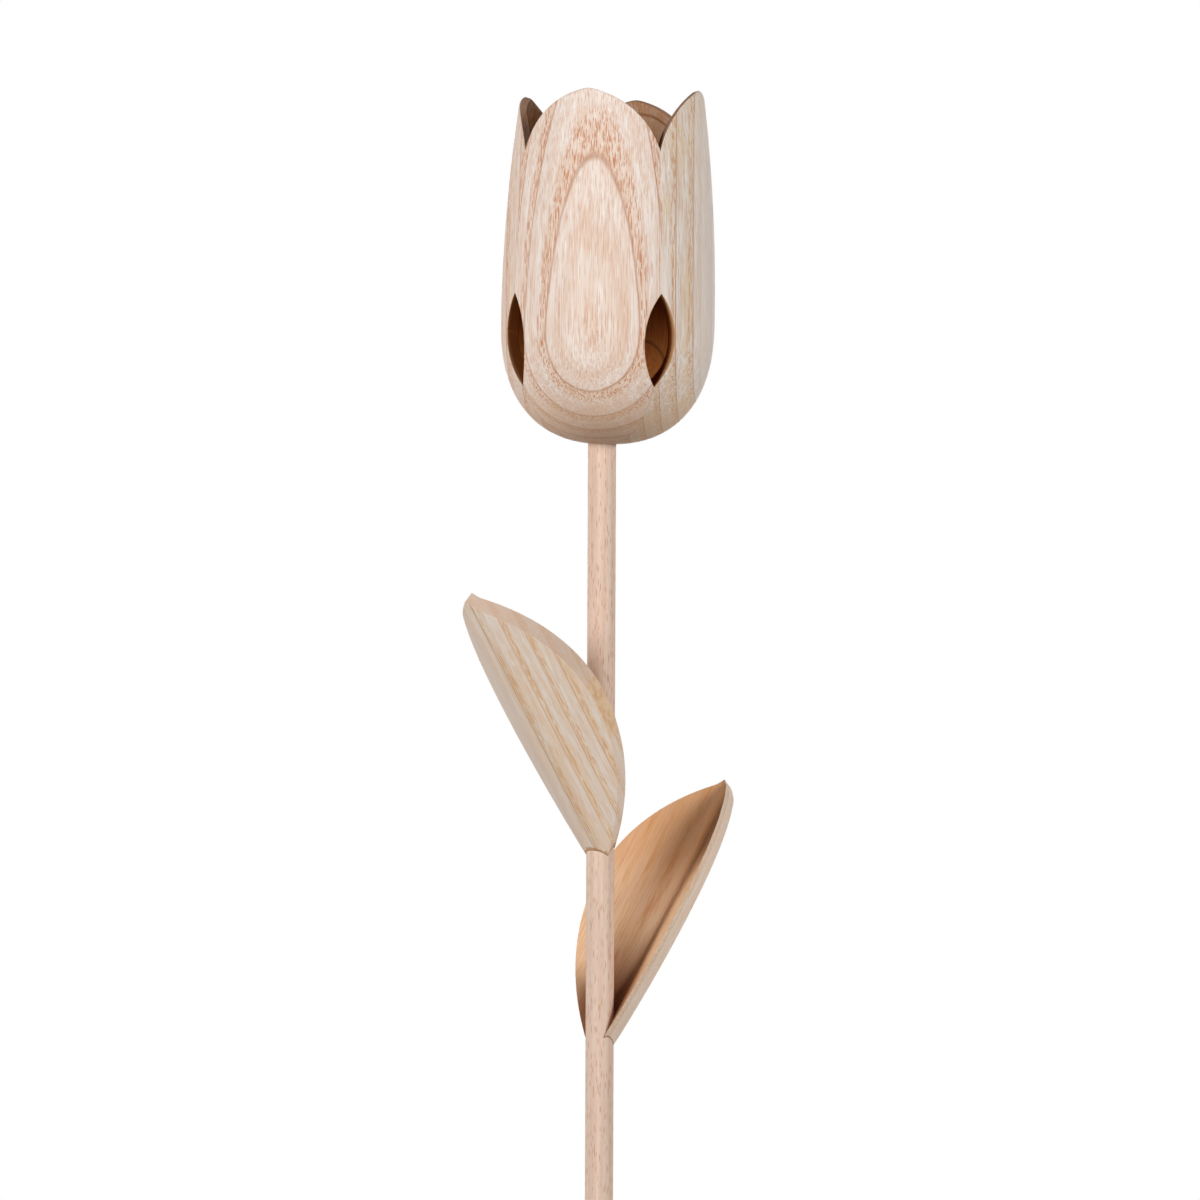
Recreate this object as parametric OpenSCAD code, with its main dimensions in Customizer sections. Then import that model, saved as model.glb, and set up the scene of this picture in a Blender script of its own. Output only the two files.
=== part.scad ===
// Wooden tulip on a dowel stem: a hollow head of four glued staves and two leaves
// sawn from an angled strip. The origin is the stem's foot on its axis, +Z is up,
// and the front of the flower faces -Y. All sizes are in millimetres.

/* [Stem] */
// Diameter of the dowel
stem_d = 10; // [8:0.5:12]
// Length of the dowel, foot to seated end
stem_len = 500; // [420:10:700]
// Depth to which the dowel is glued into the head
seat_depth = 12; // [8:1:13]
// Chamfer round the stem's sawn foot
foot_chamfer = 0.5; // [0.2:0.1:1]

/* [Head] */
// Largest radius of the head
head_r = 37.9; // [34:0.1:42]
// Height above the head's pole at which it is widest
belly_z = 44; // [38:1:50]
// Roundness of the head's lower end, where 2 is an ellipse
belly_power = 2.4; // [2:0.1:3]
// Radius of the long arc that draws the sides in above the belly
side_r = 590; // [400:10:900]
// Height to which the head is turned before the petals are cut
blank_h = 128; // [126:1:135]
// Wall thickness at the belly
wall_belly = 4.5; // [3.5:0.1:6]
// Wall thickness at the petal tips
wall_tip = 2.7; // [2:0.1:4]
// Thickness of the wood under the cavity
floor_h = 16; // [14:1:20]
// Roundness of the cavity's lower end
cavity_power = 3; // [2:0.1:4]
// Angle of the first glued seam, from +X
seam_angle = -60.5; // [-90:0.5:0]
// Lean of the head on its stem, towards +X
head_lean = 0.95; // [0:0.05:2]
// Shift of the head's pole from the stem's axis, towards +X
head_shift = 1.15; // [0:0.05:1.5]

/* [Petals] */
// Radius of the arc along each petal's edge
petal_arc_r = 34.4; // [33:0.1:38]
// Distance of that arc's centre from the seam
petal_arc_x = 32.9; // [30:0.1:33]
// Height of that arc's centre above the head's pole
petal_arc_z = 92.4; // [85:0.1:100]
// Lowest point of the lens windows above the head's pole
lens_z0 = 19.9; // [18:0.1:26]
// Highest point of the lens windows above the head's pole
lens_z1 = 52.2; // [45:0.1:60]
// Width of the lens windows
lens_w = 11.8; // [8:0.1:14]

/* [Leaves] */
// Thickness of the angled strip
leaf_t = 5.1; // [4:0.1:6]
// Half of the angle between the strip's two flanks
leaf_half_angle = 53; // [45:0.5:60]
// Radius along the outside of the fold
leaf_fold_r = 10; // [6:0.5:12]
// Radius along the inside of the fold
leaf_valley_r = 1.8; // [0.5:0.1:3]
// Length of the leaf along its fold, from its foot to the tip
leaf_len = 118.6; // [100:0.1:140]
// Distance along the fold at which the leaf is widest
leaf_wide_s = 61; // [50:0.5:70]
// Width of the leaf between its two cut edges
leaf_w = 42.8; // [30:0.1:50]
// Width of the leaf's blunt foot
leaf_foot_w = 8.2; // [4:0.1:10]
// Tilt of the leaves from the vertical
leaf_tilt = 39.8; // [30:0.1:50]
// Direction in which the upper leaf points, from the front towards +X
leaf_azimuth = -37.3; // [-60:0.1:0]
// How far the fold's foot lies behind the stem's axis
leaf_inset = 0.8; // [0:0.1:2]
// Distance of the upper leaf's foot below the head's pole
upper_leaf_drop = 144.8; // [120:0.1:180]
// Distance between the two leaves' feet
leaf_pitch = 67.2; // [50:0.1:90]

/* [Hidden] */

stem_r = stem_d / 2;
pole_z = stem_len - seat_depth;
upper_foot_z = pole_z - upper_leaf_drop;
lower_foot_z = upper_foot_z - leaf_pitch;
// Steps along each stretch of the head's profile
profile_steps = 14;
// Facets of a full turn, for the preview mesh
turn_fn = 144;
// Reach of a cutting prism, past everything that it cuts
reach = 70;
stem_colour = [0.86, 0.72, 0.62];
front_colour = [0.91, 0.80, 0.70];
side_colour = [0.88, 0.79, 0.66];
leaf_colour = [0.83, 0.69, 0.54];

// Radius of a rounded lower end at height z, widest (r) at height top, closed at height low
function rounded_r(z, r, low, top, power) =
    r * pow(max(0, 1 - pow((top - z) / (top - low), power)), 1 / power);

// Radius of the head's side at height z, above the belly
function side_radius(z) = head_r - pow(z - belly_z, 2) / (2 * side_r);

// Wall thickness at height z, above the belly
function wall_at(z) =
    wall_belly + (wall_tip - wall_belly) * (z - belly_z) / (blank_h - belly_z);

// Heights that crowd towards the closed end, so that the curve there stays round
function crowded(low, top, i) = low + (top - low) * (1 - cos(90 * i / profile_steps));

outer_points = concat(
    [for (i = [0 : profile_steps])
        let (z = crowded(0, belly_z, i))
        [rounded_r(z, head_r, 0, belly_z, belly_power), z]],
    [for (i = [1 : profile_steps])
        let (z = belly_z + (blank_h - belly_z) * i / profile_steps)
        [side_radius(z), z]]
);
cavity_points = concat(
    [for (i = [0 : profile_steps])
        let (z = crowded(floor_h, belly_z, i))
        [rounded_r(z, head_r - wall_belly, floor_h, belly_z, cavity_power), z]],
    [for (i = [1 : profile_steps])
        let (z = belly_z + (blank_h - belly_z) * i / profile_steps)
        [side_radius(z) - wall_at(z), z]]
);

// Half section of the turned and hollowed blank
module head_section() {
    outline = concat(outer_points, [for (i = [len(cavity_points) - 1 : -1 : 0]) cavity_points[i]]);
    polygon(outline);
}

// Waste above the two arcs that cross at a seam, seen along the seam's radius
module notch_outline() {
    difference() {
        translate([-reach, petal_arc_z]) square([2 * reach, reach]);
        for (side = [-1, 1]) {
            translate([side * petal_arc_x, petal_arc_z]) circle(r = petal_arc_r, $fn = turn_fn);
        }
    }
}

// Pointed window between two staves, seen along the seam's radius
module lens_outline() {
    half_h = (lens_z1 - lens_z0) / 2;
    arc_r = (pow(half_h, 2) + pow(lens_w / 2, 2)) / lens_w;
    intersection_for (side = [-1, 1]) {
        translate([side * (arc_r - lens_w / 2), lens_z0 + half_h])
            circle(r = arc_r, $fn = turn_fn);
    }
}

// Cuts that are made at one seam, from the head's axis outwards
module seam_cut(angle) {
    rotate([0, 0, angle]) rotate([90, 0, 90]) linear_extrude(height = reach) {
        notch_outline();
        lens_outline();
    }
}

// Places its children on the stem as the head is glued on
module on_stem_end() {
    translate([head_shift, 0, pole_z]) rotate([0, head_lean, 0]) children();
}

// Dowel, or the bore that takes it
module dowel() {
    cylinder(r = stem_r, h = stem_len, $fn = turn_fn);
}

// One stave of the head with its petal, starting at the given seam angle
module petal(start_angle) {
    difference() {
        on_stem_end() difference() {
            rotate([0, 0, start_angle])
                rotate_extrude(angle = 90, $fn = turn_fn) head_section();
            seam_cut(start_angle);
            seam_cut(start_angle + 90);
        }
        dowel();
    }
}

// Cross section of the angled strip: the valley lies at the origin, the fold points to +Y
module strip_section() {
    slope = 1 / tan(leaf_half_angle);
    run = leaf_w;
    apex = leaf_t / sin(leaf_half_angle);
    difference() {
        strip_side(apex, slope, run, leaf_fold_r);
        strip_side(0, slope, run, leaf_valley_r);
    }
}

// Everything below one rounded gable whose sharp ridge would lie at the given height
module strip_side(apex, slope, run, ridge_r) {
    centre = apex - ridge_r / sin(leaf_half_angle);
    touch_x = ridge_r * cos(leaf_half_angle);
    touch_y = centre + ridge_r * sin(leaf_half_angle);
    bottom = -2 * run;
    polygon([
        [-run, bottom], [run, bottom], [run, touch_y - (run - touch_x) * slope],
        [touch_x, touch_y], [-touch_x, touch_y], [-run, touch_y - (run - touch_x) * slope]
    ]);
    translate([0, centre]) circle(r = ridge_r, $fn = turn_fn);
}

// Two mirrored arcs, leaf_w apart where the leaf is widest, which narrow to end_w at end_s
module leaf_arcs(end_s, end_w) {
    rise = (leaf_w - end_w) / 2;
    arc_r = (pow(end_s - leaf_wide_s, 2) + pow(rise, 2)) / (2 * rise);
    intersection_for (side = [-1, 1]) {
        translate([side * (arc_r - leaf_w / 2), leaf_wide_s]) circle(r = arc_r, $fn = 2 * turn_fn);
    }
}

// Outline of the leaf seen square to its fold: pointed at the tip, blunt at the foot
module leaf_outline() {
    intersection() {
        leaf_arcs(leaf_len, 0);
        translate([-leaf_w, leaf_wide_s]) square([2 * leaf_w, leaf_len]);
    }
    intersection() {
        leaf_arcs(0, leaf_foot_w);
        translate([-leaf_w, 0]) square([2 * leaf_w, leaf_wide_s]);
    }
}

// One leaf, glued to the stem at the given height and direction
module leaf(foot_z, azimuth) {
    difference() {
        translate([0, 0, foot_z]) rotate([0, 0, azimuth + 180])
            translate([0, -leaf_inset, 0]) rotate([-leaf_tilt, 0, 0])
                intersection() {
                    linear_extrude(height = leaf_len) strip_section();
                    rotate([90, 0, 0])
                        linear_extrude(height = 2 * reach, center = true) leaf_outline();
                }
        dowel();
    }
}

module stem() {
    color(stem_colour) rotate_extrude($fn = turn_fn)
        polygon([
            [0, 0], [stem_r - foot_chamfer, 0], [stem_r, foot_chamfer],
            [stem_r, stem_len], [0, stem_len]
        ]);
}

module petal_front() {
    color(front_colour) petal(seam_angle - 90);
}

module petal_right() {
    color(side_colour) petal(seam_angle);
}

module petal_back() {
    color(front_colour) petal(seam_angle + 90);
}

module petal_left() {
    color(side_colour) petal(seam_angle + 180);
}

module upper_leaf() {
    color(leaf_colour) leaf(upper_foot_z, leaf_azimuth);
}

module lower_leaf() {
    color(leaf_colour) leaf(lower_foot_z, leaf_azimuth + 180);
}

stem();
petal_front();
petal_right();
petal_back();
petal_left();
upper_leaf();
lower_leaf();
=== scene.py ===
"""Looks of the wooden tulip: a hollow head of four ash staves on a beech dowel with two ash leaves.

Lengths of the object and of the camera's place are written in millimetres in the object's frame,
as in the part's own source, and become metres where a mesh or the camera is made. Those of the
lamps and of the paper on the floor are in metres.
"""

from math import acos, asin, cos, degrees, pi, radians, sin, sqrt

import bmesh
import bpy
from mathutils import Matrix, Vector


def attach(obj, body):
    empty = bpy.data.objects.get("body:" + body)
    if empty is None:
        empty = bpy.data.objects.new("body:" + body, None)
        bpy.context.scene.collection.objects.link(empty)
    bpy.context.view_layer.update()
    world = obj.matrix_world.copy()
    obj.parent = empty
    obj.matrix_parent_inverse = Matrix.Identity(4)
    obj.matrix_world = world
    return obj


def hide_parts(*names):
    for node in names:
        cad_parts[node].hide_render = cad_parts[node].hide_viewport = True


MM = 0.001

# Stem
STEM_R = 5.0
STEM_LEN = 500.0
SEAT_DEPTH = 12.0
FOOT_CHAMFER = 0.5

# Head, turned from four staves
HEAD_R = 37.9
BELLY_Z = 44.0
BELLY_POWER = 2.4
SIDE_R = 590.0
BLANK_H = 128.0
WALL_BELLY = 4.5
WALL_TIP = 2.7
FLOOR_H = 16.0
CAVITY_POWER = 3.0
SEAM_ANGLE = -60.5
HEAD_LEAN = 0.95
HEAD_SHIFT = 1.15
POLE_Z = STEM_LEN - SEAT_DEPTH

# Petals: crossing arcs at the top of each seam, and a pointed window lower down
PETAL_ARC_R = 34.4
PETAL_ARC_X = 32.9
PETAL_ARC_Z = 92.4
LENS_Z0 = 19.9
LENS_Z1 = 52.2
LENS_W = 11.8
# Width over which a petal's two arcs blend at its tip, and how often its top is worked out anew
TIP_BLEND = 2.2
TOP_PASSES = 8
# Power by which a petal's drop fades from its tip to its seams
TIP_DROP_POWER = 4
RIM_ROUND = 0.35
LENS_ROUND = 0.22
# Height and depth of the outer edge's round: at the notches, and at the petals' tips
ROLL_NOTCH = (0.35, 0.3)
ROLL_TIP = (1.6, 0.6)
# Angle through which the round turns, and the share of a stave over which it grows to the tip
ROLL_ANGLE = radians(82)
ROLL_SPREAD = 0.3
ROLL_ROWS = 5
# Chip torn out of the left window's edge: its stave, its height above the pole and its depth
CHIP_STAVE = "petal_left_stave"
CHIP_Z = 39.5
CHIP_DEPTH = 0.6

# Leaves, sawn from an angled strip
LEAF_T = 5.1
LEAF_HALF_ANGLE = 53.0
LEAF_FOLD_R = 10.0
LEAF_VALLEY_R = 5.0
LEAF_LEN = 118.6
LEAF_WIDE_S = 61.0
LEAF_W = 42.8
LEAF_FOOT_W = 8.2
LEAF_TILT = 39.8
LEAF_AZIMUTH = -37.3
LEAF_INSET = 0.8
UPPER_FOOT_Z = POLE_Z - 144.8
LOWER_FOOT_Z = UPPER_FOOT_Z - 67.2
LEAF_ROUND = 0.25

# Camera, worked out from the photograph's scale and horizon, and the width that it sees there
CAMERA_DISTANCE = 2615.0
CAMERA_Z = POLE_Z - 55.2
CAMERA_X = -0.5
CAMERA_TURN = -0.235
SENSOR_W = 36.0
VIEW_W = 425.5

# Light, in metres: name, azimuth from the front towards +X, elevation, disc size, watts
LAMP_DISTANCE = 2.2
LAMP_TARGET_Z = 0.42
LAMPS = [
    ("left_soft", -50.0, 14.0, 0.9, 37.0),
    ("right_soft", 52.0, 14.0, 0.9, 30.0),
    ("back_soft", 180.0, 5.0, 1.2, 26.0),
]
AMBIENT = 0.03

# Paper that the object stands on, in metres: it turns into the white background over these
# distances from the stem, and beside the stem the white has this share
PAPER_R = 1.3
PAPER_FADE = (0.16, 0.85)
PAPER_WHITE = 0.65

# Mesh density, and the share by which a leaf's rows and columns close up to its tip and fold
COLUMNS = 48
ROWS_BASE = 16
ROWS_LENS = 40
ROWS_PETAL = 46
LEAF_ROWS = 84
LEAF_COLUMNS = 36
LEAF_ROW_CROWDING = 0.6
LEAF_COLUMN_CROWDING = 0.45
STEM_SIDES = 96
PAPER_SIDES = 96
MERGE_DISTANCE = 0.001
# Angle above which a corner stays sharp: on the staves, and on the dowel and the leaves
STAVE_SHARP_ANGLE = 38
SHARP_ANGLE = 30

# Material slots of the staves and the leaves
OUTSIDE, INSIDE, CUT = range(3)


def srgb(red, green, blue):
    """Linear colour of a display colour given in 0 to 255."""
    def linear(value):
        value /= 255.0
        return value / 12.92 if value <= 0.04045 else ((value + 0.055) / 1.055) ** 2.4
    return (linear(red), linear(green), linear(blue), 1.0)


# Camera

def add_camera():
    data = bpy.data.cameras.new("camera")
    data.sensor_width = SENSOR_W
    data.lens = SENSOR_W * CAMERA_DISTANCE / VIEW_W
    camera = bpy.data.objects.new("camera", data)
    camera.location = (CAMERA_X * MM, -CAMERA_DISTANCE * MM, CAMERA_Z * MM)
    camera.rotation_euler = (radians(90), radians(CAMERA_TURN), 0)
    bpy.context.scene.collection.objects.link(camera)
    bpy.context.scene.camera = camera


# Meshes

def new_object(name, bm, sharp_angle, slots=1):
    """Turns a bmesh in millimetres into a piece with smooth faces and sharp corners."""
    bmesh.ops.remove_doubles(bm, verts=bm.verts, dist=MERGE_DISTANCE)
    bmesh.ops.recalc_face_normals(bm, faces=bm.faces)
    bmesh.ops.scale(bm, vec=(MM, MM, MM), verts=bm.verts)
    mesh = bpy.data.meshes.new(name)
    for _ in range(slots):
        mesh.materials.append(None)
    bm.to_mesh(mesh)
    bm.free()
    return finish_piece(name, mesh, sharp_angle)


def finish_piece(name, mesh, sharp_angle):
    mesh.polygons.foreach_set("use_smooth", [True] * len(mesh.polygons))
    mesh.set_sharp_from_angle(angle=radians(sharp_angle))
    piece = bpy.data.objects.new(name, mesh)
    bpy.context.scene.collection.objects.link(piece)
    weighted = piece.modifiers.new("weighted_normals", "WEIGHTED_NORMAL")
    weighted.keep_sharp = True
    return piece


def bridge(bm, first, second, material=OUTSIDE):
    """Faces between two rows of vertices, skipping the stretches where they have merged."""
    for i in range(len(first) - 1):
        corners = []
        for vert in (first[i], first[i + 1], second[i + 1], second[i]):
            if vert not in corners:
                corners.append(vert)
        if len(corners) > 2:
            bm.faces.new(corners).material_index = material


def row_edges(bm, row):
    return [bm.edges.get((a, b)) for a, b in zip(row, row[1:])]


def round_edges(bm, edges, size, segments, material):
    """Rounds those of the edges that are still there."""
    alive = [edge for edge in edges if edge is not None and edge.is_valid]
    bmesh.ops.bevel(
        bm, geom=alive, offset=size, segments=segments, profile=0.5,
        affect="EDGES", clamp_overlap=True, material=material,
    )


# Head geometry, in the head's own frame: radius, angle in degrees, height above the pole

def head_point(radius, angle, z):
    lean = radians(HEAD_LEAN)
    x = radius * cos(radians(angle))
    y = radius * sin(radians(angle))
    return Vector((
        x * cos(lean) + z * sin(lean) + HEAD_SHIFT,
        y,
        z * cos(lean) - x * sin(lean) + POLE_Z,
    ))


def outer_radius(z):
    if z < BELLY_Z:
        rise = (BELLY_Z - z) / BELLY_Z
        return HEAD_R * (1 - rise ** BELLY_POWER) ** (1 / BELLY_POWER)
    return HEAD_R - (z - BELLY_Z) ** 2 / (2 * SIDE_R)


def inner_radius(z):
    if z < BELLY_Z:
        rise = (BELLY_Z - z) / (BELLY_Z - FLOOR_H)
        return (HEAD_R - WALL_BELLY) * (1 - rise ** CAVITY_POWER) ** (1 / CAVITY_POWER)
    share = (z - BELLY_Z) / (BLANK_H - BELLY_Z)
    return outer_radius(z) - WALL_BELLY - (WALL_TIP - WALL_BELLY) * share


def bore_radius(angle, z):
    """Distance from the head's axis to the wall of the stem's bore, which the lean offsets."""
    lean = radians(HEAD_LEAN)
    a = cos(radians(angle)) * cos(lean)
    b = z * sin(lean) + HEAD_SHIFT
    c = sin(radians(angle))
    square = a * a + c * c
    return (-a * b + sqrt(a * a * b * b - square * (b * b - STEM_R ** 2))) / square


def lens_half_width(z):
    half_h = (LENS_Z1 - LENS_Z0) / 2
    arc_r = (half_h ** 2 + (LENS_W / 2) ** 2) / LENS_W
    reach = arc_r ** 2 - (z - LENS_Z0 - half_h) ** 2
    return max(0.0, sqrt(max(0.0, reach)) - (arc_r - LENS_W / 2))


def petal_top(radius_at, turn):
    """Height of the petal's edge where the skin has gone the given angle from its first seam."""
    z = PETAL_ARC_Z + PETAL_ARC_R
    for _ in range(TOP_PASSES):
        from_first = radius_at(z) * sin(radians(turn))
        from_second = radius_at(z) * cos(radians(turn))
        nearness = max(0.0, 1 - abs(from_first - from_second) / TIP_BLEND)
        lateral = min(from_first, from_second) - nearness ** 2 * TIP_BLEND / 4
        z = PETAL_ARC_Z + sqrt(PETAL_ARC_R ** 2 - (lateral - PETAL_ARC_X) ** 2)
    return z


def column_shares():
    """Where the columns stand between two seams, closer together near the seams."""
    crowding = 0.5
    shares = [i / COLUMNS for i in range(COLUMNS + 1)]
    return [v - crowding * sin(2 * pi * v) / (2 * pi) for v in shares]


def roll_at(share):
    """Height and depth of the outer edge's round, largest at the petal's tip."""
    tipness = max(0.0, 1 - abs(share - 0.5) / ROLL_SPREAD)
    return [low + (high - low) * tipness for low, high in zip(ROLL_NOTCH, ROLL_TIP)]


def rolled_rows(shares, tops):
    """Rows of the outer skin's round, up to the petal's edge."""
    rows = []
    for j in range(1, ROLL_ROWS + 1):
        row = []
        for share, top in zip(shares, tops):
            height, depth = roll_at(share)
            angle = ROLL_ANGLE * j / ROLL_ROWS
            z = top - height * (1 - sin(angle) / sin(ROLL_ANGLE))
            row.append((outer_radius(z) - depth * (1 - cos(angle)), 90 * share, z))
        rows.append(row)
    return rows


def skin_rows(radius_at, shares, tip_drop):
    """Rows of (radius, turn, z) of one skin of a stave, from the window's foot to its edge."""
    rows = []
    for j in range(ROWS_LENS + 1):
        z = LENS_Z0 + (LENS_Z1 - LENS_Z0) * j / ROWS_LENS
        edge = degrees(asin(lens_half_width(z) / radius_at(z)))
        rows.append([(radius_at(z), edge + (90 - 2 * edge) * share, z) for share in shares])
    drops = [tip_drop * (1 - abs(2 * v - 1) ** TIP_DROP_POWER) for v in shares]
    tops = [petal_top(radius_at, 90 * v) - drop for v, drop in zip(shares, drops)]
    rolled = radius_at is outer_radius
    ends = [top - roll_at(v)[0] for v, top in zip(shares, tops)] if rolled else tops
    for j in range(1, ROWS_PETAL + 1):
        row = []
        for share, end in zip(shares, ends):
            z = LENS_Z1 + (end - LENS_Z1) * j / ROWS_PETAL
            row.append((radius_at(z), 90 * share, z))
        rows.append(row)
    return rows + (rolled_rows(shares, tops) if rolled else [])


def outer_base_rows(start, shares):
    """Rows of the round lower end, from the bore's rim to just below the window's foot."""
    last = acos((1 - LENS_Z0 / BELLY_Z) ** (BELLY_POWER / 2))
    rows = []
    for j in range(ROWS_BASE):
        row = []
        for share in shares:
            rim = bore_radius(start + 90 * share, 0)
            first = asin((rim / HEAD_R) ** (BELLY_POWER / 2))
            theta = first + (last - first) * j / ROWS_BASE
            radius = HEAD_R * sin(theta) ** (2 / BELLY_POWER)
            z = BELLY_Z * (1 - cos(theta) ** (2 / BELLY_POWER))
            row.append((radius, 90 * share, z))
        rows.append(row)
    return rows


def cavity_floor_rows(shares):
    """Rows of the cavity's floor, from its centre to just below the window's foot."""
    edge = inner_radius(LENS_Z0)
    rows = []
    for j in range(ROWS_BASE):
        radius = edge * j / ROWS_BASE
        depth = (1 - (radius / (HEAD_R - WALL_BELLY)) ** CAVITY_POWER) ** (1 / CAVITY_POWER)
        z = BELLY_Z - (BELLY_Z - FLOOR_H) * depth
        rows.append([(radius, 90 * share, z) for share in shares])
    return rows


def build_petal(name, start, tip_drop):
    """One stave of the head, from the given seam a quarter turn on."""
    bm = bmesh.new()
    shares = column_shares()

    def place(row):
        if row[0][0] == 0:
            return [bm.verts.new(head_point(0, 0, row[0][2]))] * len(row)
        return [bm.verts.new(head_point(r, start + turn, z)) for r, turn, z in row]

    outer_rows = outer_base_rows(start, shares) + skin_rows(outer_radius, shares, tip_drop)
    if name == CHIP_STAVE:
        chip_share = (CHIP_Z - LENS_Z0) / (LENS_Z1 - LENS_Z0)
        chip_row = outer_rows[ROWS_BASE + round(chip_share * ROWS_LENS)]
        radius, turn, z = chip_row[-1]
        chip_row[-1] = (radius - CHIP_DEPTH / 2, turn - degrees(CHIP_DEPTH / radius), z)
    outer = [place(row) for row in outer_rows]
    inner_rows = cavity_floor_rows(shares) + skin_rows(inner_radius, shares, tip_drop)
    inner = [place(row) for row in inner_rows]
    seat = place([(bore_radius(start + 90 * s, SEAT_DEPTH), 90 * s, SEAT_DEPTH) for s in shares])
    seat_centre = bm.verts.new(head_point(0, 0, SEAT_DEPTH))

    for low, high in zip(outer, outer[1:]):
        bridge(bm, low, high)
    for low, high in zip(inner, inner[1:]):
        bridge(bm, low, high, INSIDE)
    bridge(bm, outer[-1], inner[-1], CUT)
    bridge(bm, outer[0], seat)
    bridge(bm, seat, [seat_centre] * len(seat))

    lens_top = ROWS_BASE + ROWS_LENS
    lens_rows = slice(ROWS_BASE, lens_top + 1)
    lens_edges = []
    for side in (0, -1):
        outer_side = [row[side] for row in outer]
        inner_side = [row[side] for row in inner]
        bridge(bm, outer_side[lens_rows], inner_side[lens_rows], CUT)
        bm.faces.new(outer_side[lens_top:] + inner_side[:lens_top - 1:-1])
        foot = outer_side[:ROWS_BASE + 1] + inner_side[ROWS_BASE::-1] + [seat_centre, seat[side]]
        bm.faces.new(foot)
        for row in (outer_side, inner_side):
            lens_edges += row_edges(bm, row[lens_rows])

    rim_edges = row_edges(bm, inner[-1])
    bmesh.ops.recalc_face_normals(bm, faces=bm.faces)
    round_edges(bm, rim_edges, RIM_ROUND, 3, CUT)
    round_edges(bm, lens_edges, LENS_ROUND, 3, CUT)
    return new_object(name, bm, STAVE_SHARP_ANGLE, slots=3)


def build_stem():
    """Plain dowel whose sawn foot has its edge broken."""
    profile = [
        (0, 0), (STEM_R - FOOT_CHAMFER, 0), (STEM_R, FOOT_CHAMFER),
        (STEM_R, STEM_LEN), (0, STEM_LEN),
    ]
    bm = bmesh.new()
    rings = []
    for radius, z in profile:
        if radius == 0:
            rings.append([bm.verts.new((0, 0, z))] * (STEM_SIDES + 1))
            continue
        ring = []
        for i in range(STEM_SIDES):
            angle = 2 * pi * i / STEM_SIDES
            ring.append(bm.verts.new((radius * cos(angle), radius * sin(angle), z)))
        rings.append(ring + ring[:1])
    for low, high in zip(rings, rings[1:]):
        bridge(bm, low, high)
    return new_object("dowel_stem", bm, SHARP_ANGLE)


# Leaf geometry, in the leaf's own frame: across, outwards, along the fold

def leaf_matrix(foot_z, azimuth):
    return (
        Matrix.Translation((0, 0, foot_z))
        @ Matrix.Rotation(radians(azimuth + 180), 4, "Z")
        @ Matrix.Translation((0, -LEAF_INSET, 0))
        @ Matrix.Rotation(radians(-LEAF_TILT), 4, "X")
    )


def leaf_half_width(s):
    end_s, end_w = (LEAF_LEN, 0.0) if s > LEAF_WIDE_S else (0.0, LEAF_FOOT_W)
    rise = (LEAF_W - end_w) / 2
    arc_r = ((end_s - LEAF_WIDE_S) ** 2 + rise ** 2) / (2 * rise)
    return max(0.0, sqrt(arc_r ** 2 - (s - LEAF_WIDE_S) ** 2) - (arc_r - LEAF_W / 2))


def gable(x, apex, ridge_r):
    """Height of a rounded gable at x, where its sharp ridge would lie at apex."""
    half = radians(LEAF_HALF_ANGLE)
    centre = apex - ridge_r / sin(half)
    touch_x = ridge_r * cos(half)
    if abs(x) < touch_x:
        return centre + sqrt(ridge_r ** 2 - x ** 2)
    return centre + ridge_r * sin(half) - (abs(x) - touch_x) * cos(half) / sin(half)


def cut_by_stem(piece):
    """Takes the stem's round out of a leaf and makes a new piece of what is left."""
    bpy.ops.mesh.primitive_cylinder_add(
        vertices=STEM_SIDES, radius=STEM_R * MM, depth=STEM_LEN * MM,
        location=(0, 0, STEM_LEN * MM / 2),
    )
    cutter = bpy.context.object
    boolean = piece.modifiers.new("stem_round", "BOOLEAN")
    boolean.operation = "DIFFERENCE"
    boolean.solver = "EXACT"
    boolean.object = cutter
    piece.modifiers.remove(piece.modifiers["weighted_normals"])
    depsgraph = bpy.context.evaluated_depsgraph_get()
    mesh = bpy.data.meshes.new_from_object(piece.evaluated_get(depsgraph))
    name = piece.name
    bpy.data.objects.remove(cutter)
    bpy.data.objects.remove(piece)
    return finish_piece(name, mesh, SHARP_ANGLE)


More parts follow.
